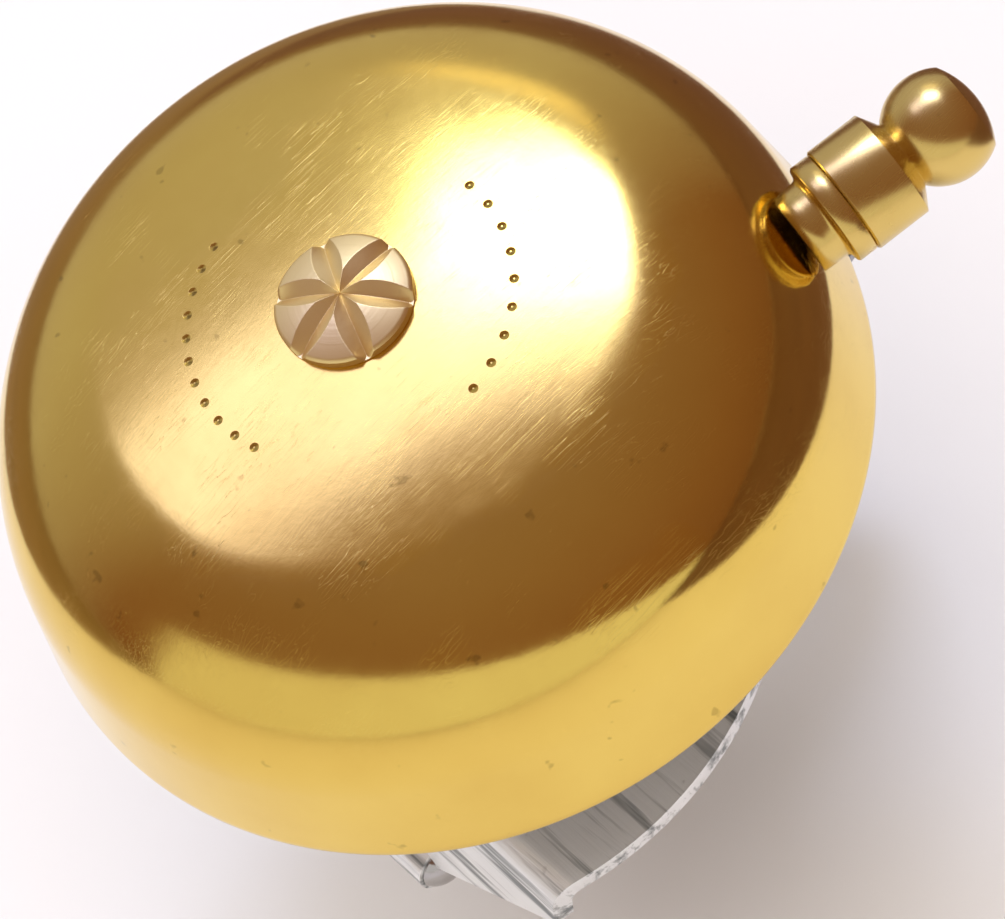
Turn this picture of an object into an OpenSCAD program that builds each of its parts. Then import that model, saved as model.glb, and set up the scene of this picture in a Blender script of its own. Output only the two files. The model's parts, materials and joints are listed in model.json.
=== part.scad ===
// Hand-struck bicycle bell with a hinged handlebar clamp.
// Origin: on the handlebar's centre line, under the bell's post. +Z is up, +Y lies along the handlebar.

/* [Bell] */
// Diameter of the bell at its widest
dome_d = 55; // [53:1:60]
// Thickness of the spun brass
dome_wall = 1.3; // [1:0.1:1.6]
// Lean of the side wall, in degrees
wall_lean = 9; // [6:1:12]
// Length of the straight side wall
wall_len = 6; // [4:0.5:8]
// Radius of the shoulder
shoulder_r = 13; // [11:0.5:14]
// Height of the upright lip under the widest place
lip_h = 0.6; // [0.4:0.1:1]
// Height of the bell's widest place over the bracket
dome_lift = 12; // [12:0.5:14]

/* [Dome screw] */
// Diameter of the screw's head
head_d = 8.6; // [8:0.1:9.5]
// Number of leaf-shaped cuts in the head
leaf_count = 6; // [4:1:8]

/* [Striker] */
// Turn of the striker about the post, in degrees
striker_turn = -10; // [-20:1:-5]
// Distance of the striker's centre line in front of the post
striker_offset = 9; // [9:0.1:9.6]
// Height of the striker's centre line over the bell's widest place
striker_lift = 8.7; // [8.5:0.1:9]
// Upward tilt of the striker's centre line, in degrees
striker_tilt = 2.3; // [2:0.1:2.6]
// Diameter of the striker's main cylinder
striker_d = 7.2; // [6.8:0.1:7.4]
// Diameter of the finger knob
knob_d = 7.1; // [6.8:0.1:7.6]
// Width of the spring strip at its root
arm_w = 5.2; // [4.8:0.1:5.4]
// Width of the spring strip at its tip
arm_tip_w = 3.8; // [3.4:0.1:4]
// Thickness of the spring strip
arm_t = 0.5; // [0.4:0.05:0.6]

/* [Bracket and clamp] */
// Diameter of the handlebar
bar_d = 22.2; // [22:0.1:22.4]
// Thickness of the rubber between the clamp and the bar
liner_t = 1; // [0.8:0.1:1.2]
// Thickness of the pressed steel
sheet_t = 1.2; // [1:0.1:1.3]
// Radius of the plate's rounded ends
plate_r = 23.1; // [22.5:0.1:23.5]
// Width of the lower band
band_w = 14; // [12:0.5:15]

/* [Hidden] */
$fn = 96;
eps = 0.01;

// heights
bar_r = bar_d / 2;
band_r = bar_r + liner_t;
plate_z = band_r + sheet_t;
wide_z = plate_z + dome_lift;
dome_r = dome_d / 2;

// bell outline: the wall's top, the shoulder's centre and the crown's centre
wall_top_r = dome_r - wall_len * sin(wall_lean);
wall_top_z = wide_z + wall_len * cos(wall_lean);
shoulder_end = 80;
shoulder_x = wall_top_r - shoulder_r * cos(wall_lean);
shoulder_z = wall_top_z - shoulder_r * sin(wall_lean);
crown_r = (shoulder_x + shoulder_r * cos(shoulder_end)) / cos(shoulder_end);
crown_z = shoulder_z + shoulder_r * sin(shoulder_end) - crown_r * sin(shoulder_end);
dome_top_z = crown_z + crown_r;

// post, bush and screw in the crown
m4_r = 2;
m4_hole_r = 2.05;
bush_r = 2.9;
bush_flange_r = 5;
bush_flange_t = 0.8;
washer_t = 0.8;
post_r = 4;
post_foot_r = 4.5;
post_foot_h = 2;
tenon_r = 2.5;
tenon_head_r = 3.4;
bush_z = dome_top_z - dome_wall - bush_flange_t;
post_washer_z = bush_z - washer_t;
spring_washer_z = post_washer_z - washer_t;
screw_len = 12;
head_side_h = 0.7;
head_dome_h = 0.9;

// striker: the arm's own X axis, and distances out from the strip's inner face
strip_x = 27.65;
strip_in_x = strip_x - arm_t / 2;
striker_z = wide_z + striker_lift;
collar_r = 3.45;
collar_len = 1.4;
nose_h = 0.7;
body_len = 3.65;
neck_at = 4.55;
neck_r = 2.1;
ball_at = 7.2;
knob_len = 10.05;
knob_end_r = 5.5;
stud_r = 1.25;
stud_len = 3.2;
groove = 0.12;
tip_half = arm_tip_w / 2;

// spring strip: root on the plate, a rising leaf, then an upright tip
arm_offset = 3.1;
arm_lean = 32.5;
root_x = 5.4;
root_end_x = 13.8;
strip_root_z = plate_z + arm_t / 2;
strip_rise = 36;
root_bend_r = 4;
tip_bend_r = 1.6;
rivet_x = [7.4, 11.8];
rivet_r = 1;
rivet_head_r = 1.8;
backing_t = 0.8;
// centre of the fold at the leaf's foot, and how far the stud is above it
tip_bend_x = strip_x - tip_bend_r + (striker_lift + 1) * sin(striker_tilt);
tip_bend_z = strip_root_z + root_bend_r * (1 - cos(strip_rise)) + tip_bend_r * cos(strip_rise)
    + (tip_bend_x + tip_bend_r * sin(strip_rise) - root_end_x - root_bend_r * sin(strip_rise))
    * tan(strip_rise);
tip_drop = (striker_z - tip_bend_z) / cos(striker_tilt) - 0.3;

// bracket section
bend_in_r = 1;
bend_out_r = bend_in_r + sheet_t;
left_lean = 13;
right_lean = 10;
left_bend_x = -13.4;
right_bend_x = 12.9;
bend_z = plate_z - bend_out_r;
plate_shift = -6.6;

// hinge
hinge_x = -17.4;
knuckle_r = 2;
pin_r = 0.95;
pin_hole_r = 1;
hinge_half = 7.3;
knuckle_gap = 0.2;
centre_knuckle_half = 3;
pin_head_r = 1.75;

// ears and clamp screw
ear_gap = 4;
ear_x = 21;
ear_r = 4.6;
ear_z = ear_gap / 2;
screw_r = 1.95;
ear_hole_r = 2.3;
band_hole_r = 2.7;
nut_af = 7;
nut_h = 3.2;
clamp_screw_len = 13;

module on_arm() {
    rotate([0, 0, striker_turn]) translate([0, -arm_offset, 0]) children();
}

// frame of the striker: centre line along its Z, starting at the strip's inner face
module along_striker() {
    rotate([0, 0, striker_turn]) translate([strip_in_x, -striker_offset, striker_z])
        rotate([0, 90 - striker_tilt, 0]) children();
}

module ring(r_out, r_in, h) {
    difference() {
        cylinder(r = r_out, h = h);
        translate([0, 0, -eps]) cylinder(r = r_in, h = h + 2 * eps);
    }
}

// half outline of the bell, moved in by t from its outer face
module bell_outline(t) {
    lip_corner_z = wide_z - t * tan(wall_lean / 2);
    wall_x = shoulder_x + (shoulder_r - t) * cos(wall_lean);
    wall_z = shoulder_z + (shoulder_r - t) * sin(wall_lean);
    crown_start_x = shoulder_x + (shoulder_r - t) * cos(shoulder_end);
    crown_start_z = shoulder_z + (shoulder_r - t) * sin(shoulder_end);
    base_z = wide_z - lip_h - (t > 0 ? 1 : 0);
    polygon([
        [0, base_z], [dome_r - t, base_z], [dome_r - t, lip_corner_z], [wall_x, wall_z], [0, wall_z]
    ]);
    polygon([[0, wall_z - eps], [shoulder_x, wall_z - eps], [shoulder_x, crown_start_z], [0, crown_start_z]]);
    intersection() {
        translate([shoulder_x, shoulder_z]) circle(r = shoulder_r - t);
        translate([shoulder_x - eps, wall_z - eps])
            square([shoulder_r, crown_start_z - wall_z + eps]);
    }
    intersection() {
        translate([0, crown_z]) circle(r = crown_r - t);
        translate([0, crown_start_z - eps]) square([crown_start_x + 1, shoulder_r]);
    }
}

module bell_dome() {
    color("goldenrod") difference() {
        rotate_extrude() difference() {
            bell_outline(0);
            bell_outline(dome_wall);
        }
        translate([0, 0, dome_top_z - 2 * dome_wall]) cylinder(r = bush_r, h = 3 * dome_wall);
    }
}

module dome_screw() {
    cap_r = (head_d * head_d / 4 + head_dome_h * head_dome_h) / (2 * head_dome_h);
    leaf_turn = 360 / leaf_count;
    color("gold") {
        difference() {
            translate([0, 0, dome_top_z]) intersection() {
                cylinder(d = head_d, h = head_side_h + head_dome_h);
                translate([0, 0, head_side_h + head_dome_h - cap_r]) sphere(r = cap_r);
            }
            for (i = [0 : leaf_count - 1]) rotate([0, 0, i * leaf_turn])
                translate([0, 0, dome_top_z + head_side_h + head_dome_h])
                    rotate([0, 96, 0]) rotate([0, 0, 45])
                        translate([-0.55, -0.55, 0]) cube([1.1, 1.1, head_d]);
        }
        translate([0, 0, dome_top_z - screw_len]) cylinder(r = m4_r, h = screw_len + eps);
    }
}

module dome_bush() {
    color("ivory") {
        translate([0, 0, bush_z]) ring(bush_flange_r, m4_hole_r, bush_flange_t);
        translate([0, 0, bush_z]) ring(bush_r - 0.05, m4_hole_r, bush_flange_t + dome_wall - 0.1);
    }
}

module post_washer() {
    color("silver") translate([0, 0, post_washer_z]) ring(4.5, m4_hole_r, washer_t);
}

module spring_washer() {
    color("gray") difference() {
        translate([0, 0, spring_washer_z]) ring(3.6, m4_hole_r, washer_t);
        translate([2, -0.3, spring_washer_z - eps]) cube([2, 0.6, washer_t + 2 * eps]);
    }
}

module centre_post() {
    color("silver") difference() {
        union() {
            translate([0, 0, plate_z]) cylinder(r = post_r, h = spring_washer_z - plate_z);
            translate([0, 0, plate_z]) cylinder(r = post_foot_r, h = post_foot_h, $fn = 6);
            translate([0, 0, band_r]) cylinder(r = tenon_r, h = sheet_t + eps);
            translate([0, 0, band_r]) cylinder(r1 = tenon_head_r, r2 = tenon_r, h = sheet_t / 2);
        }
        translate([0, 0, dome_top_z - screw_len - 1]) cylinder(r = m4_hole_r, h = screw_len + 1);
    }
}

// one side of the bracket in section: half of the top, a bend and a flank down to end_z
module side_section(bend_x, end_z, flank_lean) {
    s = sign(bend_x);
    polygon([[0, plate_z - sheet_t], [bend_x, plate_z - sheet_t], [bend_x, plate_z], [0, plate_z]]);
    intersection() {
        translate([bend_x, bend_z]) difference() {
            circle(r = bend_out_r);
            circle(r = bend_in_r);
        }
        translate([bend_x, bend_z]) polygon([
            [0, 0], [0, 5], [s * 5, 5], [s * 5 * cos(flank_lean), 5 * sin(flank_lean)]
        ]);
    }
    translate([bend_x, bend_z]) rotate(s * flank_lean)
        translate([s > 0 ? bend_in_r : -bend_out_r, -(bend_z - end_z) / cos(flank_lean)])
            square([sheet_t, (bend_z - end_z) / cos(flank_lean) + eps]);
}

module pressed(bend_x, end_z, flank_lean) {
    rotate([90, 0, 0]) linear_extrude(height = 2 * plate_r, center = true)
        side_section(bend_x, end_z, flank_lean);
}

module plate_outline() {
    translate([plate_shift, 0, 0]) cylinder(r = plate_r, h = 3 * plate_r, center = true, $fn = 180);
}

// tapering side view of the left flank
module left_taper() {
    reach = plate_r;
    rotate([90, 0, -90]) linear_extrude(height = 30) polygon([
        [-reach, plate_z + 1], [reach, plate_z + 1], [reach, plate_z - 2.4],
        [hinge_half, 0.8], [hinge_half, -knuckle_r], [-hinge_half, -knuckle_r],
        [-hinge_half, 0.8], [-reach, plate_z - 2.4]
    ]);
}

module knuckle(y0, y1) {
    translate([hinge_x, y1, 0]) rotate([90, 0, 0]) cylinder(r = knuckle_r, h = y1 - y0);
}

module pin_hole() {
    translate([hinge_x, 0, 0]) rotate([90, 0, 0])
        cylinder(r = pin_hole_r, h = 4 * hinge_half, center = true);
}

module right_ear() {
    ear_root_x = 15.2;
    translate([0, 0, ear_z]) {
        translate([ear_root_x, -ear_r - 1, 0]) cube([2, 2 * ear_r + 2, sheet_t]);
        translate([ear_root_x, -ear_r, 0]) cube([ear_x - ear_root_x, 2 * ear_r, sheet_t]);
        translate([ear_x, 0, 0]) cylinder(r = ear_r, h = sheet_t);
    }
}

module base_bracket() {
    middle = centre_knuckle_half + knuckle_gap;
    color("silver") difference() {
        union() {
            intersection() {
                pressed(left_bend_x, 0.6, left_lean);
                plate_outline();
                left_taper();
            }
            intersection() {
                pressed(right_bend_x, ear_z, right_lean);
                plate_outline();
                union() {
                    translate([0, 0, plate_z - 3]) cube([2 * right_bend_x, 2 * plate_r, 8], center = true);
                    translate([0, -ear_r - 1, 0]) cube([30, 2 * ear_r + 2, 30]);
                }
            }
            right_ear();
            knuckle(middle, hinge_half);
            knuckle(-hinge_half, -middle);
        }
        pin_hole();
        translate([hinge_x - 5, -middle, -5]) cube([10, 2 * middle, 5 + knuckle_r + 0.4]);
        translate([ear_x, 0, 0]) cylinder(r = ear_hole_r, h = 10);
        translate([0, 0, band_r - eps]) cylinder(r = tenon_r, h = sheet_t + 1);
        translate([0, 0, band_r - eps]) cylinder(r1 = tenon_head_r, r2 = tenon_r, h = sheet_t / 2 + eps);
        for (x = rivet_x) on_arm() translate([x, 0, band_r - eps]) {
            cylinder(r = rivet_r, h = sheet_t + 1);
            cylinder(r1 = rivet_r + 0.6, r2 = rivet_r, h = 0.6);
        }
    }
}

module arm_rivets() {
    head_z = plate_z + arm_t + backing_t;
    color("silver") for (x = rivet_x) on_arm() translate([x, 0, 0]) {
        translate([0, 0, band_r]) cylinder(r = rivet_r, h = head_z - band_r + eps);
        translate([0, 0, band_r]) cylinder(r1 = rivet_r + 0.6 - eps, r2 = rivet_r, h = 0.6);
        intersection() {
            translate([0, 0, head_z - 0.7]) sphere(r = 2);
            translate([0, 0, head_z]) cylinder(r = rivet_head_r, h = 2);
        }
    }
}

module root_outline(h) {
    difference() {
        translate([root_x, -arm_w / 2, 0]) cube([root_end_x - root_x, arm_w, h]);
        for (x = rivet_x) translate([x, 0, -eps]) cylinder(r = rivet_r, h = h + 2 * eps);
    }
}

module arm_backing_plate() {
    color("silver") on_arm() translate([0, 0, plate_z + arm_t]) root_outline(backing_t);
}

// the strip's side view: the root, a rising leaf, and round bends up to the tip
module strip_section() {
    half = arm_t / 2;
    a = strip_rise;
    upright = 90 + striker_tilt;
    x0 = root_end_x + root_bend_r * sin(a);
    z0 = strip_root_z + root_bend_r * (1 - cos(a));
    x1 = tip_bend_x + tip_bend_r * sin(a);
    translate([root_x, strip_root_z - half]) square([root_end_x - root_x + eps, arm_t]);
    translate([root_end_x, strip_root_z + root_bend_r]) arc_strip(root_bend_r, -90, -90 + a);
    translate([x0, z0]) rotate(a) translate([-eps, -half]) square([(x1 - x0) / cos(a) + 2 * eps, arm_t]);
    translate([tip_bend_x, tip_bend_z]) {
        arc_strip(tip_bend_r, -90 + a, upright - 90);
        rotate(striker_tilt) translate([tip_bend_r - half, -eps]) square([arm_t, 0.5]);
    }
}

module arc_strip(r, a0, a1) {
    far = 2 * (r + arm_t);
    intersection() {
        difference() {
            circle(r = r + arm_t / 2);
            circle(r = r - arm_t / 2);
        }
        polygon([[0, 0], far * [cos(a0), sin(a0)], far * [cos((a0 + a1) / 2), sin((a0 + a1) / 2)],
                 far * [cos(a1), sin(a1)]]);
    }
}

// upright tip leaf, seen along the striker: a leaning strip with a round end about the stud
module tip_leaf(half, length) {
    rotate(arm_lean) translate([0, -half]) square([length, 2 * half]);
    circle(r = half);
}

module spring_arm() {
    root_half = arm_w / 2;
    lean_len = 0.5 + tip_drop / cos(arm_lean);
    fold_half = tip_half / cos(arm_lean);
    color("lightsteelblue") difference() {
        union() {
            on_arm() intersection() {
                rotate([90, 0, 0]) linear_extrude(height = arm_w, center = true) strip_section();
                linear_extrude(height = 60) polygon([
                    [0, -root_half], [root_end_x, -root_half], [tip_bend_x, -fold_half],
                    [strip_x + 2, -fold_half], [strip_x + 2, fold_half], [tip_bend_x, fold_half],
                    [root_end_x, root_half], [0, root_half]
                ]);
            }
            along_striker() difference() {
                linear_extrude(height = arm_t) tip_leaf(tip_half, lean_len);
                translate([tip_drop, -20, -eps]) cube([20, 40, 1]);
            }
        }
        on_arm() for (x = rivet_x) translate([x, 0, plate_z - 1]) cylinder(r = rivet_r, h = 4);
        along_striker() translate([0, 0, -1]) cylinder(r = stud_r, h = 3);
    }
}

module striker_head() {
    nose_r = (collar_r * collar_r + nose_h * nose_h) / (2 * nose_h);
    color("gold") along_striker() {
        intersection() {
            translate([0, 0, -collar_len - nose_h]) cylinder(r = collar_r, h = collar_len + nose_h);
            translate([0, 0, nose_r - collar_len - nose_h]) sphere(r = nose_r);
        }
        translate([0, 0, -eps]) cylinder(r = stud_r - eps, h = stud_len);
    }
}

// half outline of the knob, drawn out from the strip: body, shoulder cone, neck and ball
module knob_outline() {
    body_r = striker_d / 2;
    knob_r = knob_d / 2;
    polygon([
        [0, 0], [body_r - groove, 0], [body_r, groove], [body_r, body_len], [neck_r, neck_at],
        [neck_r, ball_at - 2], [0, ball_at - 2]
    ]);
    intersection() {
        translate([0, ball_at]) circle(r = knob_r);
        translate([0, knob_len - knob_end_r]) circle(r = knob_end_r);
        square([knob_r + 1, knob_len]);
    }
}

module striker_knob() {
    color("gold") along_striker() difference() {
        rotate_extrude() knob_outline();
        translate([0, 0, -eps]) cylinder(r = stud_r, h = stud_len + 0.3);
        translate([0, 0, -eps]) linear_extrude(height = arm_t + eps) tip_leaf(tip_half + 0.1, striker_d);
    }
}

module saddle_pad() {
    pad_half = 11;
    pad_x = 13.2;
    pad_z = 3;
    chamfer = 2.4;
    color("dimgray") difference() {
        rotate([90, 0, 0]) linear_extrude(height = 2 * pad_half, center = true) polygon([
            [-pad_x, pad_z], [pad_x, pad_z], [pad_x, band_r - chamfer], [pad_x - chamfer, band_r],
            [chamfer - pad_x, band_r], [-pad_x, band_r - chamfer]
        ]);
        rotate([90, 0, 0]) cylinder(r = bar_r, h = 4 * pad_half, center = true);
    }
}

module below(z) {
    translate([-40, -40, z - 80]) cube([80, 80, 80]);
}

module clamp_band() {
    tab_z = -knuckle_r;
    color("silver") difference() {
        union() {
            intersection() {
                rotate([90, 0, 0]) translate([0, 0, -band_w / 2]) ring(band_r + sheet_t, band_r, band_w);
                below(-ear_z);
            }
            translate([band_r - 0.2, -ear_r, -ear_z - sheet_t])
                cube([ear_x - band_r + 0.2, 2 * ear_r, sheet_t]);
            translate([ear_x, 0, -ear_z - sheet_t]) cylinder(r = ear_r, h = sheet_t);
            translate([hinge_x, -centre_knuckle_half, tab_z])
                cube([-hinge_x - band_r + 0.2, 2 * centre_knuckle_half, sheet_t]);
            knuckle(-centre_knuckle_half, centre_knuckle_half);
        }
        pin_hole();
        translate([ear_x, 0, -10]) cylinder(r = band_hole_r, h = 20);
    }
}

module band_liner() {
    liner_half = band_w / 2 - 0.5;
    color("dimgray") intersection() {
        rotate([90, 0, 0]) translate([0, 0, -liner_half]) ring(band_r, bar_r, 2 * liner_half);
        below(-ear_z);
    }
}

module hinge_pin() {
    color("silver") translate([hinge_x, 0, 0]) rotate([90, 0, 0]) {
        cylinder(r = pin_r, h = 2 * hinge_half + 0.4, center = true);
        for (s = [-1, 1]) mirror([0, 0, s > 0 ? 0 : 1]) translate([0, 0, hinge_half])
            intersection() {
                cylinder(r = pin_head_r, h = 2);
                translate([0, 0, -1]) sphere(r = 2.1);
            }
    }
}

module clamp_screw() {
    head_r = 3.6;
    head_h = 2.4;
    top_z = -ear_z - sheet_t - washer_t;
    color("silver") translate([ear_x, 0, top_z]) {
        cylinder(r = screw_r, h = clamp_screw_len);
        mirror([0, 0, 1]) difference() {
            intersection() {
                cylinder(r = head_r, h = head_h);
                translate([0, 0, -2.6]) sphere(r = 5);
            }
            translate([-5, -0.5, head_h - 1.1]) cube([10, 1, 2]);
        }
    }
}

module clamp_washer() {
    color("silver") translate([ear_x, 0, -ear_z - sheet_t - washer_t]) ring(4.2, m4_hole_r, washer_t);
}

module lock_washer() {
    color("gray") translate([ear_x, 0, ear_z + sheet_t]) difference() {
        ring(3.5, m4_hole_r, washer_t);
        translate([2, -0.3, -eps]) cube([2, 0.6, washer_t + 2 * eps]);
    }
}

module clamp_nut() {
    color("silver") translate([ear_x, 0, ear_z + sheet_t + washer_t]) difference() {
        rotate(30) cylinder(r = nut_af / 2 / cos(30), h = nut_h, $fn = 6);
        translate([0, 0, -eps]) cylinder(r = 2, h = nut_h + 2 * eps);
    }
}

bell_dome();
dome_screw();
dome_bush();
post_washer();
spring_washer();
centre_post();
base_bracket();
arm_rivets();
arm_backing_plate();
spring_arm();
striker_head();
striker_knob();
saddle_pad();
clamp_band();
band_liner();
hinge_pin();
clamp_screw();
clamp_washer();
clamp_nut();
lock_washer();
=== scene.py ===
import bpy, bmesh, json, math
from mathutils import Matrix, Vector


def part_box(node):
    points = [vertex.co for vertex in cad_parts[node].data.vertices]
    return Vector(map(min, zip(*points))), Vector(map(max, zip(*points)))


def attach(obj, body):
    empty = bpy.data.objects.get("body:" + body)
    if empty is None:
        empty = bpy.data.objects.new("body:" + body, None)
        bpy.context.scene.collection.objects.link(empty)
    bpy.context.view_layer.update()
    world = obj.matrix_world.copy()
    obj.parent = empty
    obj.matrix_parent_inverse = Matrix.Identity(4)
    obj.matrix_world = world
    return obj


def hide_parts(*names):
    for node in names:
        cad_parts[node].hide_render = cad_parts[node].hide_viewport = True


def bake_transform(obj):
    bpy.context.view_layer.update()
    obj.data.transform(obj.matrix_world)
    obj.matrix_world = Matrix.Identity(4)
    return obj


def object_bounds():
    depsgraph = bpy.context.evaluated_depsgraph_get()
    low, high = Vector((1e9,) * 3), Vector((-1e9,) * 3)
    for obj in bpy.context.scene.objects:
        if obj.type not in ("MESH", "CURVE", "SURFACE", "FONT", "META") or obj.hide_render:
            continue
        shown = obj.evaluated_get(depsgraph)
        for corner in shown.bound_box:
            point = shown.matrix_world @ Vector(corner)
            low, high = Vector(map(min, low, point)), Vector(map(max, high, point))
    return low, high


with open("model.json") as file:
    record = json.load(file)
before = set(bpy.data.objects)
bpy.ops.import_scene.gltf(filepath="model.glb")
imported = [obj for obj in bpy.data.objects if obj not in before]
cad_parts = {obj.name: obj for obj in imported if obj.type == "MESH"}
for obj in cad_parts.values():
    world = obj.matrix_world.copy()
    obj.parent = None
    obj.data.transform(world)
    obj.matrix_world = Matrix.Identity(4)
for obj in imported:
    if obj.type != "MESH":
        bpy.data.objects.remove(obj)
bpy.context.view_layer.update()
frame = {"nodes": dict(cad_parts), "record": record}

# ---------------------------------------------------------------- sizes, read from the frame
dome_lo, dome_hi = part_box("bell_dome")
DOME_R = (dome_hi.x - dome_lo.x) / 2
TOP_Z = dome_hi.z
RIM_Z = dome_lo.z
MM = 0.001
WALL = 1.3 * MM
LEAN = math.radians(9)
WALL_LEN = 6 * MM
SHOULDER_R = 13 * MM
LIP_H = 0.6 * MM
WIDE_Z = RIM_Z + LIP_H
STRIKER_TURN = math.radians(-10)
STRIKER_TILT = math.radians(2.3)
STRIKER_OFFSET = 9 * MM
STRIKER_LIFT = 8.7 * MM
STRIKER_X = 27.4 * MM
COLLAR_R, COLLAR_LEN = 3.45, 1.4
NOSE_R, NOSE_REACH = 2.7, 3.4
NOSE_GAP = 0.45 * MM
HEAD_D = 8.6 * MM
LEAF_COUNT = 6
LEAF_TURN = 7
TURNING_LINES = 3000.0
CAMERA_AZIMUTH = math.radians(-12)
CAMERA_ELEVATION = math.radians(57.5)
CAMERA_ROLL = math.radians(-34.8)
CAMERA_DISTANCE = 0.330


# ---------------------------------------------------------------- node helpers
class Nodes:
    def __init__(self, name):
        self.mat = bpy.data.materials.new(name)
        self.mat.use_nodes = True
        self.tree = self.mat.node_tree
        self.tree.nodes.clear()
        self.out = self.new("ShaderNodeOutputMaterial")
        self.bsdf = self.new("ShaderNodeBsdfPrincipled")
        self.link(self.bsdf.outputs[0], self.out.inputs[0])
        coord = self.new("ShaderNodeTexCoord")
        self.obj = coord.outputs["Object"]
        self.heights = []

    def new(self, kind, **settings):
        n = self.tree.nodes.new(kind)
        for k, v in settings.items():
            setattr(n, k, v)
        return n

    def link(self, a, b):
        self.tree.links.new(a, b)

    def put(self, socket, value):
        if hasattr(value, "is_output"):
            self.link(value, socket)
        else:
            socket.default_value = value

    def math(self, op, a, b=0.0, c=0.0, clamp=False):
        n = self.new("ShaderNodeMath", operation=op, use_clamp=clamp)
        for i, v in enumerate((a, b, c)):
            self.put(n.inputs[i], v)
        return n.outputs[0]

    def scaled(self, scale, turn=(0, 0, 0)):
        n = self.new("ShaderNodeMapping")
        self.link(self.obj, n.inputs["Vector"])
        n.inputs["Scale"].default_value = scale
        n.inputs["Rotation"].default_value = turn
        return n.outputs[0]

    def noise(self, vector, scale=1.0, detail=3.0, rough=0.5, distort=0.0):
        n = self.new("ShaderNodeTexNoise")
        self.link(vector, n.inputs["Vector"])
        n.inputs["Scale"].default_value = scale
        n.inputs["Detail"].default_value = detail
        n.inputs["Roughness"].default_value = rough
        n.inputs["Distortion"].default_value = distort
        return n.outputs[0]

    def ramp(self, value, stops):
        n = self.new("ShaderNodeValToRGB")
        self.link(value, n.inputs[0])
        e = n.color_ramp.elements
        while len(e) < len(stops):
            e.new(0.5)
        for el, (p, c) in zip(e, stops):
            el.position = p
            el.color = (c, c, c, 1) if isinstance(c, (int, float)) else (*c, 1)
        return n.outputs[0]

    def mix(self, f, a, b, mode="MIX"):
        n = self.new("ShaderNodeMix", data_type="RGBA", blend_type=mode)
        self.put(n.inputs["Factor"], f)
        for s, v in ((n.inputs[6], a), (n.inputs[7], b)):
            self.put(s, v if hasattr(v, "is_output") else (*v, 1))
        return n.outputs[2]

    def bump(self, height, strength, distance):
        n = self.new("ShaderNodeBump")
        n.inputs["Strength"].default_value = strength
        n.inputs["Distance"].default_value = distance
        self.link(height, n.inputs["Height"])
        if self.heights:
            self.link(self.heights[-1], n.inputs["Normal"])
        self.heights.append(n.outputs[0])
        self.link(n.outputs[0], self.bsdf.inputs["Normal"])

    def hairlines(self, scale, turn, width=0.02, keep=0.5, stretch=40.0):
        """Straight thin scratches: stretched cells, thinned out by a coarse noise."""
        v = self.scaled((scale, scale * stretch, scale * stretch * 0.6), turn)
        line = self.noise(v, 1.0, 1.0, 0.4)
        thin = self.ramp(line, [(0.5 - width, 0.0), (0.5, 1.0), (0.5 + width, 0.0)])
        patch = self.noise(self.scaled((240, 240, 240), turn), 1.0, 1.0)
        gate = self.ramp(patch, [(keep, 0.0), (keep + 0.2, 1.0)])
        return self.math("MULTIPLY", thin, gate)


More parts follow.
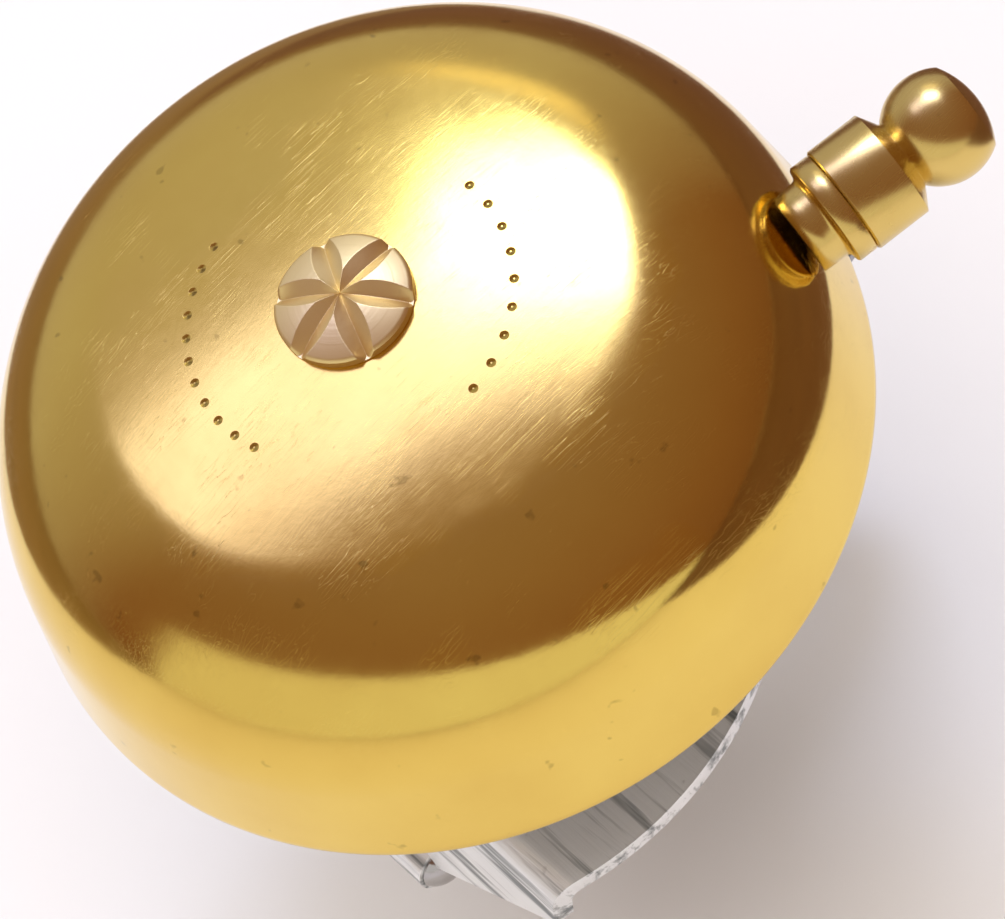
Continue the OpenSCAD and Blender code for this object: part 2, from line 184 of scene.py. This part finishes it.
def metal(name, base, dark, rough, turned=False, brushed=0.0, scratches=1.0, tarnish=0.3, wave=0.0,
          grain_scale=900.0, marks=False, streaks=0.0, satin=0.0):
    n = Nodes(name)
    n.bsdf.inputs["Metallic"].default_value = 1.0 - satin
    big = n.noise(n.scaled((70, 70, 70)), 1.0, 4.0, 0.55)
    blotch = n.ramp(big, [(0.35, 0.0), (0.7, 1.0)])
    fine = n.noise(n.scaled((grain_scale, grain_scale, grain_scale)), 1.0, 3.0, 0.6)
    lines_a = n.hairlines(60, (0.2, 0.1, 0.5), 0.005, 0.5, 60)
    lines_b = n.hairlines(80, (0.5, -0.3, 1.9), 0.005, 0.52, 50)
    lines_c = n.hairlines(50, (-0.4, 0.2, 2.7), 0.004, 0.5, 60)
    lines = n.math("MAXIMUM", n.math("MAXIMUM", lines_a, lines_b), lines_c)
    colour = n.mix(n.math("MULTIPLY", blotch, tarnish), base, dark)
    spots = n.ramp(n.noise(n.scaled((700, 700, 700), (0, 0, 0.3)), 1.0, 2.0), [(0.71, 0.0), (0.76, 1.0)])
    colour = n.mix(n.math("MULTIPLY", spots, 0.35 * scratches), colour, [c * 0.3 for c in dark])
    colour = n.mix(n.math("MULTIPLY", lines, 0.4 * scratches), colour, [min(1, c * 1.2) for c in base])
    rough_v = n.math("MULTIPLY_ADD", fine, 0.06, rough - 0.03)
    rough_v = n.math("MULTIPLY_ADD", blotch, 0.07, rough_v)
    rough_v = n.math("MULTIPLY_ADD", lines, 0.15 * scratches, rough_v, clamp=True)
    if marks:
        # the crown is handled and polished most, so it is a little duller than the wall
        crown = n.math("DIVIDE", n.math("SUBTRACT", polar(n)[2], TOP_Z - 9 * MM), 9 * MM, clamp=True)
        rough_v = n.math("MULTIPLY_ADD", crown, 0.09, rough_v)
    n.link(rough_v, n.bsdf.inputs["Roughness"])
    n.bump(fine, 0.14, 0.00003)
    n.bump(lines, 0.25 * scratches, 0.00001)
    if wave:
        n.bump(n.noise(n.scaled((140, 140, 140)), 1.0, 2.0), wave, 0.0004)
    if brushed:
        if turned:
            # fine turning lines: rings about the bell's upright axis
            r, _, z = polar(n)
            comb = n.new("ShaderNodeCombineXYZ")
            n.link(n.math("MULTIPLY", r, TURNING_LINES), comb.inputs[0])
            n.link(n.math("MULTIPLY", z, TURNING_LINES), comb.inputs[1])
            v = comb.outputs[0]
        else:
            v = n.scaled((60, 4000, 1500))
        rings = n.noise(v, 1.0, 2.0, 0.6)
        n.bump(rings, brushed, 0.00004)
    if marks:
        colour = n.mix(n.math("MULTIPLY", stamped(n), 0.55), colour, [c * 0.5 for c in dark])
        swirls(n)
    if streaks:
        # painted reflection: long soft dark streaks along the handlebar's line stand in for the surroundings
        # mirrored in the curved chrome; they bump the surface too
        painted_reflection_bands = n.noise(n.scaled((820, 38, 820)), 1.0, 4.0, 0.62, 0.3)
        colour = n.mix(n.ramp(painted_reflection_bands, [(0.36, 0.0), (0.5, 1.0)]), (0.22, 0.24, 0.245), colour)
        n.bump(painted_reflection_bands, streaks, 0.0006)
    n.link(colour, n.bsdf.inputs["Base Color"])
    return n.mat


def polar(n):
    sep = n.new("ShaderNodeSeparateXYZ")
    n.link(n.obj, sep.inputs[0])
    x, y = sep.outputs[0], sep.outputs[1]
    r = n.math("SQRT", n.math("ADD", n.math("POWER", x, 2.0), n.math("POWER", y, 2.0)))
    return r, n.math("ARCTAN2", y, x), sep.outputs[2]


def stamped(n):
    """Two short arcs of small plain punched dots on the crown: a generic stand-in, no lettering."""
    r, ang, _ = polar(n)
    total = None
    for ring_r, start, end, count in ((0.0102, -1.55, 0.1, 9), (0.0102, 1.75, 3.45, 11)):
        step = (end - start) / count
        a = n.math("SUBTRACT", ang, start)
        a = n.math("MODULO", n.math("ADD", a, 4 * math.pi), 2 * math.pi)
        inside = n.math("LESS_THAN", a, end - start)
        cell = n.math("SUBTRACT", n.math("FRACT", n.math("DIVIDE", a, step)), 0.5)
        du = n.math("DIVIDE", n.math("MULTIPLY", n.math("MULTIPLY", cell, step), r), 0.0003)
        dr = n.math("DIVIDE", n.math("SUBTRACT", r, ring_r), 0.0003)
        d = n.math("SQRT", n.math("ADD", n.math("POWER", du, 2.0), n.math("POWER", dr, 2.0)))
        dot = n.ramp(d, [(0.2, 1.0), (1.0, 0.0)])
        dot = n.math("MULTIPLY", dot, inside)
        total = dot if total is None else n.math("MAXIMUM", total, dot)
    n.bump(n.math("MULTIPLY", total, -1.0), 0.7, 0.0002)
    return total


def swirls(n):
    """Soft polishing arcs round the crown and down the wall."""
    r, ang, z = polar(n)
    comb = n.new("ShaderNodeCombineXYZ")
    n.link(n.math("MULTIPLY", r, 2200.0), comb.inputs[0])
    n.link(n.math("MULTIPLY", ang, 9.0), comb.inputs[1])
    n.link(n.math("MULTIPLY", z, 2200.0), comb.inputs[2])
    n.bump(n.noise(comb.outputs[0], 1.0, 2.0, 0.6, 0.4), 0.05, 0.00004)
    v = n.scaled((260, 2600, 700), (0.1, 0.2, 0.9))
    n.bump(n.noise(v, 1.0, 3.0, 0.6, 1.2), 0.05, 0.00004)


def plain(name, base, dark, rough, scale=900.0, bump=0.3):
    n = Nodes(name)
    n.bsdf.inputs["Metallic"].default_value = 0.0
    grain = n.noise(n.scaled((scale, scale, scale)), 1.0, 4.0, 0.6)
    patch = n.noise(n.scaled((120, 120, 120)), 1.0, 3.0)
    n.link(n.mix(n.ramp(patch, [(0.3, 0.0), (0.7, 1.0)]), base, dark), n.bsdf.inputs["Base Color"])
    n.link(n.math("MULTIPLY_ADD", grain, 0.2, rough - 0.1), n.bsdf.inputs["Roughness"])
    n.bump(grain, bump, 0.05 * MM)
    return n.mat


MATS = {
    "bell_brass": metal("polished_brass", (0.79, 0.575, 0.135), (0.64, 0.41, 0.08), 0.085,
                        tarnish=0.45, marks=True),
    "screw_brass": metal("screw_brass", (0.95, 0.77, 0.36), (0.84, 0.64, 0.27), 0.42, tarnish=0.3,
                         turned=True, brushed=0.3, scratches=0.5),
    "striker_brass": metal("turned_brass", (0.72, 0.53, 0.17), (0.52, 0.36, 0.09), 0.25, tarnish=0.45,
                           scratches=0.4),
    "bush_nylon": plain("nylon", (0.80, 0.78, 0.70), (0.70, 0.67, 0.58), 0.5, 500, 0.1),
    "zinc": metal("zinc_plate", (0.62, 0.63, 0.64), (0.42, 0.43, 0.45), 0.33, tarnish=0.6, wave=0.1),
    "spring_steel": metal("spring_steel", (0.45, 0.45, 0.47), (0.25, 0.25, 0.28), 0.28, brushed=0.25,
                          tarnish=0.6),
    "post_steel": metal("turned_steel", (0.60, 0.60, 0.60), (0.40, 0.40, 0.41), 0.25,
                        turned=True, brushed=0.35),
    # the bracket's streaks are painted reflection: dark bands in its colour standing in for mirrored
    # surroundings
    "bracket_chrome": metal("bracket_chrome", (0.90, 0.92, 0.93), (0.66, 0.67, 0.69), 0.32,
                            tarnish=0.45, wave=0.3, streaks=0.3, satin=0.6),
    "rivet_steel": metal("rivet_steel", (0.60, 0.60, 0.61), (0.38, 0.38, 0.40), 0.24, tarnish=0.5),
    "pad_rubber": plain("moulded_rubber", (0.032, 0.032, 0.034), (0.05, 0.05, 0.05), 0.65),
    "pin_chrome": metal("pin_chrome", (0.45, 0.44, 0.44), (0.22, 0.2, 0.19), 0.12, tarnish=0.6, wave=0.5),
    "screw_chrome": metal("screw_chrome", (0.62, 0.63, 0.64), (0.4, 0.4, 0.42), 0.16, tarnish=0.5,
                          wave=0.1),
}
slot_of = {p["node"]: p["material_slot"] for p in frame["record"]["subparts"]}


def dress(obj, slot_name, body=None, replaced=()):
    obj.data.materials.clear()
    obj.data.materials.append(MATS[slot_name])
    if body:
        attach(obj, body)
        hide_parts(*replaced)
    return obj


# ---------------------------------------------------------------- mesh helpers
def arc(cx, cz, r, a0, a1, n):
    return [(cx + r * math.cos(a0 + (a1 - a0) * i / n), cz + r * math.sin(a0 + (a1 - a0) * i / n))
            for i in range(n + 1)]


def lathe(name, outline, steps=256, closed=True):
    """Spins a closed outline of (radius, height) points about Z. Points at radius 0 become poles."""
    bm = bmesh.new()
    rings = []
    for r, z in outline:
        if r < 1e-9:
            rings.append([bm.verts.new((0, 0, z))])
        else:
            rings.append([bm.verts.new((r * math.cos(2 * math.pi * k / steps),
                                        r * math.sin(2 * math.pi * k / steps), z)) for k in range(steps)])
    pairs = list(zip(rings, rings[1:] + rings[:1] if closed else rings[1:]))
    for a, b in pairs:
        if len(a) == 1 and len(b) == 1:
            continue
        for k in range(steps):
            j = (k + 1) % steps
            if len(a) == 1:
                bm.faces.new((a[0], b[j], b[k]))
            elif len(b) == 1:
                bm.faces.new((a[k], a[j], b[0]))
            else:
                bm.faces.new((a[k], a[j], b[j], b[k]))
    bmesh.ops.recalc_face_normals(bm, faces=bm.faces)
    me = bpy.data.meshes.new(name)
    bm.to_mesh(me)
    bm.free()
    for p in me.polygons:
        p.use_smooth = True
    obj = bpy.data.objects.new(name, me)
    bpy.context.scene.collection.objects.link(obj)
    return obj


def rounded_copy(name, node, width, segments, angle):
    """A copy of a CAD node with its sharp edges broken by a small round."""
    src = frame["nodes"][node]
    me = src.data.copy()
    me.name = name
    obj = bpy.data.objects.new(name, me)
    bpy.context.scene.collection.objects.link(obj)
    bm = bmesh.new()
    bm.from_mesh(me)
    bmesh.ops.remove_doubles(bm, verts=bm.verts, dist=2e-6)
    bmesh.ops.dissolve_limit(bm, angle_limit=math.radians(0.8), verts=bm.verts, edges=bm.edges,
                             delimit={"NORMAL"})
    bm.to_mesh(me)
    bm.free()
    for p in me.polygons:
        p.use_smooth = True
    bev = obj.modifiers.new("round", "BEVEL")
    bev.width = width
    bev.segments = segments
    bev.limit_method = "ANGLE"
    bev.angle_limit = math.radians(angle)
    bev.use_clamp_overlap = True
    bev.harden_normals = True
    dg = bpy.context.evaluated_depsgraph_get()
    done = bpy.data.meshes.new_from_object(obj.evaluated_get(dg))
    obj.modifiers.clear()
    obj.data = done
    return obj


def round_corner(p0, p1, p2, r, n=5):
    """Points of a small fillet at p1 between the straight runs p0-p1 and p1-p2."""
    a, b, c = (Vector((*p, 0)) for p in (p0, p1, p2))
    u, v = (a - b).normalized(), (c - b).normalized()
    half = u.angle(v) / 2
    d = min(r / math.tan(half), (a - b).length * 0.49, (c - b).length * 0.49)
    r = d * math.tan(half)
    centre = b + (u + v).normalized() * (r / math.sin(half))
    s, e = b + u * d - centre, b + v * d - centre
    total = s.angle(e)
    turn = 1 if s.cross(e).z > 0 else -1
    pts = []
    for i in range(n + 1):
        t = turn * total * i / n
        q = centre + Vector((s.x * math.cos(t) - s.y * math.sin(t), s.x * math.sin(t) + s.y * math.cos(t), 0))
        pts.append((q.x, q.y))
    return pts


# ---------------------------------------------------------------- bell
wall_top_r = DOME_R - WALL_LEN * math.sin(LEAN)
wall_top_z = WIDE_Z + WALL_LEN * math.cos(LEAN)
sh_x = wall_top_r - SHOULDER_R * math.cos(LEAN)
sh_z = wall_top_z - SHOULDER_R * math.sin(LEAN)
SH_END = math.radians(80)
crown_r = (sh_x + SHOULDER_R * math.cos(SH_END)) / math.cos(SH_END)
crown_z = sh_z + SHOULDER_R * math.sin(SH_END) - crown_r * math.sin(SH_END)
HOLE_R = 2.95 * MM


def dome_line(t):
    """The bell's half outline at depth t, from the rim up to the hole in the crown."""
    r_rim = DOME_R - t
    corner = (r_rim, WIDE_Z - t * math.tan(LEAN / 2))
    top = (sh_x + (SHOULDER_R - t) * math.cos(LEAN), sh_z + (SHOULDER_R - t) * math.sin(LEAN))
    pts = [(r_rim, RIM_Z + 0.25 * MM)]
    pts += round_corner((r_rim, RIM_Z), corner, top, 2.4 * MM, 6)
    pts += arc(sh_x, sh_z, SHOULDER_R - t, LEAN, SH_END, 48)
    end = math.acos(HOLE_R / (crown_r - t))
    pts += arc(0, crown_z, crown_r - t, SH_END, end, 30)[1:]
    return pts


outer = dome_line(0)
inner = dome_line(WALL)
lip_mid = DOME_R - WALL / 2
lip = [(lip_mid + (WALL / 2) * math.cos(a), RIM_Z + 0.25 * MM + 0.25 * MM * math.sin(a))
       for a in [-math.pi + math.pi * i / 10 for i in range(1, 10)]]
dome = lathe("dome_shell", inner[::-1] + lip + outer, 384)
dress(dome, "bell_brass", "base", ("bell_dome",))
dome.data.materials.append(metal("dull_inside", (0.36, 0.33, 0.28), (0.20, 0.17, 0.13), 0.42, tarnish=0.7,
                                 turned=True, brushed=0.4))
for f in dome.data.polygons:
    c = f.center
    if c.z < WIDE_Z:
        f.material_index = 1 if math.hypot(c.x, c.y) < DOME_R - WALL * 0.8 else 0
    else:
        f.material_index = 1 if Vector((c.x, c.y, c.z - WIDE_Z)).dot(f.normal) < 0 else 0

# ---------------------------------------------------------------- dome screw with leaf cuts
side_h, cap_h = 0.7 * MM, 0.9 * MM
lo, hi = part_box("dome_screw")
seat_z = hi.z - side_h - cap_h
cap_r = (HEAD_D ** 2 / 4 + cap_h ** 2) / (2 * cap_h)
cap_c = seat_z + side_h + cap_h - cap_r


def leaf_depth(x, y):
    """Depth of the V cuts at a point of the head: each is a pointed leaf with its midrib deepest."""
    r = math.hypot(x, y)
    depth = 0.0
    for k in range(LEAF_COUNT):
        a = math.radians(LEAF_TURN + 360 / LEAF_COUNT * k)
        along = x * math.cos(a) + y * math.sin(a)
        if along <= 0:
            continue
        across = abs(-x * math.sin(a) + y * math.cos(a))
        t = along / (HEAD_D / 2)
        half = (0.16 + 0.72 * math.sin(math.pi * min(t * 0.80 + 0.04, 1.0)) ** 0.9) * MM
        lean = across / half
        if lean < 1:
            rise = (0.40 + 0.30 * t) * MM
            depth = max(depth, rise * (1 - lean))
    return min(depth, 0.85 * MM)


bm = bmesh.new()
N_R, N_A = 110, 540
grid = []
for i in range(N_R + 1):
    r = HEAD_D / 2 * i / N_R
    row = []
    for k in range(N_A if i else 1):
        a = 2 * math.pi * k / N_A
        x, y = r * math.cos(a), r * math.sin(a)
        z = cap_c + math.sqrt(cap_r ** 2 - r * r)
        edge = max(0.0, (r - (HEAD_D / 2 - 0.22 * MM)) / (0.22 * MM))
        z -= 0.12 * MM * edge ** 2
        z -= leaf_depth(x, y)
        row.append(bm.verts.new((x, y, max(z, seat_z + 0.15 * MM))))
    grid.append(row)
for k in range(N_A):
    bm.faces.new((grid[0][0], grid[1][k], grid[1][(k + 1) % N_A]))
for i in range(1, N_R):
    for k in range(N_A):
        j = (k + 1) % N_A
        bm.faces.new((grid[i][k], grid[i + 1][k], grid[i + 1][j], grid[i][j]))
shank_r = 2 * MM
rings = [grid[N_R]]
for r, z in ((HEAD_D / 2, seat_z + 0.08 * MM), (HEAD_D / 2 - 0.1 * MM, seat_z),
             (shank_r, seat_z), (shank_r, lo.z)):
    rings.append([bm.verts.new((r * math.cos(2 * math.pi * k / N_A), r * math.sin(2 * math.pi * k / N_A), z))
                  for k in range(N_A)])
for a, b in zip(rings, rings[1:]):
    for k in range(N_A):
        j = (k + 1) % N_A
        bm.faces.new((a[k], b[k], b[j], a[j]))
bm.faces.new(rings[-1])
bmesh.ops.recalc_face_normals(bm, faces=bm.faces)
me = bpy.data.meshes.new("leaf_screw")
bm.to_mesh(me)
bm.free()
for p in me.polygons:
    p.use_smooth = True
me.set_sharp_from_angle(angle=math.radians(28))
screw = bpy.data.objects.new("leaf_screw", me)
bpy.context.scene.collection.objects.link(screw)
dress(screw, "screw_brass", "base", ("dome_screw",))

# ---------------------------------------------------------------- striker collar
def bell_gap(p):
    """Distance from a point beside the bell to its outer face."""
    r = math.hypot(p.x, p.y)
    if p.z > wall_top_z:
        return math.hypot(r - sh_x, p.z - sh_z) - SHOULDER_R
    return (r - DOME_R + (p.z - WIDE_Z) * math.tan(LEAN)) * math.cos(LEAN)


def turned_collar():
    """Stud, collar and a narrower nose whose end follows the bell's face at a small gap."""
    outline = [(0, 3.2), (1.1, 3.2), (1.24, 3.05), (1.24, 0), (COLLAR_R - 0.12, 0), (COLLAR_R, -0.12),
               (COLLAR_R, 0.12 - COLLAR_LEN), (COLLAR_R - 0.12, -COLLAR_LEN), (2.95, -1.44), (2.75, -1.6),
               (NOSE_R, -1.8), (NOSE_R, -2.4), (NOSE_R, -NOSE_REACH)]
    outline += [(NOSE_R * k / 12, -NOSE_REACH) for k in range(11, -1, -1)]
    obj = lathe("striker_collar", [(r * MM, z * MM) for r, z in outline], 160, False)
    seat = (Matrix.Rotation(STRIKER_TURN, 4, "Z")
            @ Matrix.Translation((STRIKER_X, -STRIKER_OFFSET, WIDE_Z + STRIKER_LIFT))
            @ Matrix.Rotation(math.pi / 2 - STRIKER_TILT, 4, "Y"))
    axis = (seat.to_3x3() @ Vector((0, 0, 1))).normalized()
    obj.data.transform(seat)
    start = seat.translation
    for v in obj.data.vertices:
        if (v.co - start).dot(axis) < -1.5 * MM:
            for _ in range(80):
                if bell_gap(v.co) >= NOSE_GAP:
                    break
                v.co += axis * 0.05 * MM
    return obj


# ---------------------------------------------------------------- rounded copies of pressed and turned pieces
bracket = rounded_copy("pressed_bracket", "base_bracket", 0.3 * MM, 4, 35)
dress(bracket, "bracket_chrome", "base", ("base_bracket",))
band = rounded_copy("clamp_strap", "clamp_band", 0.2 * MM, 3, 35)
dress(band, "bracket_chrome", "band", ("clamp_band",))
knob = rounded_copy("finger_knob", "striker_knob", 0.14 * MM, 3, 12)
dress(knob, "striker_brass", "striker", ("striker_knob",))
collar = turned_collar()
dress(collar, "striker_brass", "striker", ("striker_head",))
for node, w in (("clamp_nut", 0.15), ("clamp_screw", 0.12), ("saddle_pad", 0.4)):
    o = rounded_copy("fine_" + node, node, w * MM, 3, 35)
    dress(o, slot_of[node], "clamp_screw" if node == "clamp_screw" else "base", (node,))

# ---------------------------------------------------------------- spring strip, its long edges subdivided
strip = rounded_copy("spring_strip", "spring_arm", 0.06 * MM, 2, 35)
bm = bmesh.new()
bm.from_mesh(strip.data)
bmesh.ops.triangulate(bm, faces=bm.faces)
for _ in range(3):
    long_edges = [e for e in bm.edges if e.calc_length() > 0.9 * MM]
    if not long_edges:
        break
    bmesh.ops.subdivide_edges(bm, edges=long_edges, cuts=1, use_grid_fill=False)
    bmesh.ops.triangulate(bm, faces=[f for f in bm.faces if len(f.verts) > 3])
bm.to_mesh(strip.data)
bm.free()
strip.data.materials.clear()
strip.data.materials.append(MATS["spring_steel"])
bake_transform(strip)
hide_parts("spring_arm")

# ---------------------------------------------------------------- the CAD pieces that stay: better materials
for name, obj in frame["nodes"].items():
    if not obj.hide_render:
        mat = MATS[slot_of[name]]
        if obj.data.materials:
            for i in range(len(obj.data.materials)):
                obj.data.materials[i] = mat
        else:
            obj.data.materials.append(mat)

# ---------------------------------------------------------------- floor, light and sky
floor_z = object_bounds()[0].z - 0.002
bpy.ops.mesh.primitive_plane_add(size=3.0, location=(0, 0, floor_z))
floor = bpy.context.object
floor.name = "floor"
fm = Nodes("pale_floor")
fm.bsdf.inputs["Roughness"].default_value = 0.9
fm.link(fm.mix(fm.noise(fm.scaled((12, 12, 12)), 1.0, 3.0), (0.86, 0.86, 0.85), (0.90, 0.90, 0.89)),
        fm.bsdf.inputs["Base Color"])
floor.data.materials.append(fm.mat)


def card(name, azimuth, elevation, distance, width, height, power, colour=(1, 1, 1)):
    """An area light at a compass direction seen from the bell, facing it."""
    a, e = CAMERA_AZIMUTH + math.radians(azimuth), math.radians(elevation)
    back = Vector((math.sin(a) * math.cos(e), -math.cos(a) * math.cos(e), math.sin(e)))
    data = bpy.data.lights.new(name, "AREA")
    data.shape = "RECTANGLE"
    data.size, data.size_y = width, height
    data.energy = power
    data.color = colour
    obj = bpy.data.objects.new(name, data)
    bpy.context.scene.collection.objects.link(obj)
    obj.location = Vector((0, 0, WIDE_Z)) + back * distance
    obj.rotation_mode = "QUATERNION"
    obj.rotation_quaternion = back.to_track_quat("Z", "Y")
    return obj


# seen in the metal: a bright window, a broad soft light over the crown and a low warm glow
card("key", 148, 55, 0.9, 0.34, 0.24, 1.9, (0.80, 0.94, 1.35))
crown_soft = card("crown_soft", 172, 63, 0.9, 0.85, 0.30, 1.25, (0.96, 1.0, 2.3))
crown_soft.visible_diffuse = False
card("top_glow", 150, 34, 0.9, 0.34, 0.14, 0.13, (1.0, 0.90, 0.62))
# not seen in the metal: they only brighten the floor and the satin pieces
fill = card("fill", 170, 80, 1.6, 1.6, 1.6, 11, (1.0, 0.99, 0.97))
fill.visible_glossy = False
soft_fill = card("soft_fill", 0, 75, 1.6, 1.6, 1.6, 13, (1.0, 1.0, 0.97))
soft_fill.visible_glossy = False
soft_fill.data.use_shadow = False

right_dir = Vector((math.cos(CAMERA_AZIMUTH), math.sin(CAMERA_AZIMUTH), 0))
front_dir = Vector((math.sin(CAMERA_AZIMUTH), -math.cos(CAMERA_AZIMUTH), 0))


def flag(name, corners, colour, lift):
    """A dark studio flag lying on the table, seen only in the polished metal. Corners are (right, front)."""
    pts = [right_dir * x + front_dir * y + Vector((0, 0, floor_z + lift)) for x, y in corners]
    me = bpy.data.meshes.new(name)
    me.from_pydata([tuple(p) for p in pts], [], [tuple(range(len(pts)))])
    o = bpy.data.objects.new(name, me)
    bpy.context.scene.collection.objects.link(o)
    k = Nodes(name)
    k.bsdf.inputs["Roughness"].default_value = 0.9
    k.link(k.mix(k.noise(k.scaled((25, 25, 25)), 1.0, 3.0), colour, [c * 0.6 for c in colour]),
           k.bsdf.inputs["Base Color"])
    me.materials.append(k.mat)
    o.visible_camera = o.visible_diffuse = o.visible_shadow = o.visible_transmission = False
    return o


flag("flag_right", [(0.065 + 0.258 * 1.4, 1.4), (1.4, 1.4), (1.4, -1.4), (0.065 - 0.258 * 0.4, -0.4),
                    (0.065, 0.0)], (0.17, 0.08, 0.045), 0.001)
flag("flag_back", [(-1.4, -0.10), (1.4, -0.06), (1.4, -1.4), (-1.4, -1.4)], (0.30, 0.20, 0.10), 0.0005)

world = bpy.data.worlds.new("studio")
bpy.context.scene.world = world
world.use_nodes = True
wt = world.node_tree
wt.nodes.clear()
wo = wt.nodes.new("ShaderNodeOutputWorld")
bg = wt.nodes.new("ShaderNodeBackground")
wt.links.new(bg.outputs[0], wo.inputs[0])
tc = wt.nodes.new("ShaderNodeTexCoord")


def wmath(op, a, b=0.0, clamp=False):
    n = wt.nodes.new("ShaderNodeMath")
    n.operation = op
    n.use_clamp = clamp
    for i, v in enumerate((a, b)):
        if hasattr(v, "is_output"):
            wt.links.new(v, n.inputs[i])
        else:
            n.inputs[i].default_value = v
    return n.outputs[0]


def wdot(v):
    n = wt.nodes.new("ShaderNodeVectorMath")
    n.operation = "DOT_PRODUCT"
    wt.links.new(tc.outputs["Generated"], n.inputs[0])
    n.inputs[1].default_value = v
    return n.outputs["Value"]


height, side, ahead = wdot((0, 0, 1)), wdot(right_dir), wdot(front_dir)
# pale sweep in front and to the left: it ends along a slanting line
line = wmath("ADD", wmath("MULTIPLY", side, -0.54), wmath("MULTIPLY", ahead, 0.31))
pale = wmath("MULTIPLY", wmath("SUBTRACT", line, height), 60.0, True)
pale = wmath("MULTIPLY", pale, wmath("MULTIPLY", wmath("ADD", ahead, 0.15), 12.0, True))
rp = wt.nodes.new("ShaderNodeValToRGB")
wt.links.new(height, rp.inputs[0])
stops = [(0.0, (0.26, 0.12, 0.07)), (0.35, (0.30, 0.15, 0.09)), (0.8, (0.34, 0.20, 0.14)),
         (1.0, (0.36, 0.23, 0.18))]
el = rp.color_ramp.elements
while len(el) < len(stops):
    el.new(0.5)
for e, (p, c) in zip(el, stops):
    e.position = p
    e.color = (*c, 1)
mixer = wt.nodes.new("ShaderNodeMix")
mixer.data_type = "RGBA"
wt.links.new(pale, mixer.inputs["Factor"])
# a pale pinkish wall behind the bell
wall = wmath("MULTIPLY", wmath("SUBTRACT", wmath("MULTIPLY", ahead, -1.0), 0.30), 2.0, True)
behind = wt.nodes.new("ShaderNodeMix")
behind.data_type = "RGBA"
wt.links.new(wall, behind.inputs["Factor"])
wt.links.new(rp.outputs[0], behind.inputs[6])
behind.inputs[7].default_value = (0.64, 0.60, 0.64, 1)
wt.links.new(behind.outputs[2], mixer.inputs[6])
mixer.inputs[7].default_value = (1.0, 0.96, 0.90, 1)
wt.links.new(mixer.outputs[2], bg.inputs[0])
bg.inputs[1].default_value = 0.9
bpy.context.scene.view_settings.view_transform = "Standard"

# ---------------------------------------------------------------- camera, at the photograph's angle
cam_data = bpy.data.cameras.new("camera")
cam = bpy.data.objects.new("camera", cam_data)
bpy.context.scene.collection.objects.link(cam)
back = front_dir * math.cos(CAMERA_ELEVATION) + Vector((0, 0, math.sin(CAMERA_ELEVATION)))
level_up = back.cross(right_dir)
# the camera is rolled, so that the bell's top points up and to the left
right = right_dir * math.cos(CAMERA_ROLL) + level_up * math.sin(CAMERA_ROLL)
up = level_up * math.cos(CAMERA_ROLL) - right_dir * math.sin(CAMERA_ROLL)
target = Vector((0, 0, WIDE_Z))
m = Matrix((right, up, back)).transposed().to_4x4()
m.translation = target + back * CAMERA_DISTANCE
cam.matrix_world = m
cam_data.sensor_width = 36
cam_data.lens = 191.8
cam_data.shift_x = 0.0622
cam_data.shift_y = -0.0214
cam_data.clip_start = 0.01
cam_data.clip_end = 10
bpy.context.scene.camera = cam
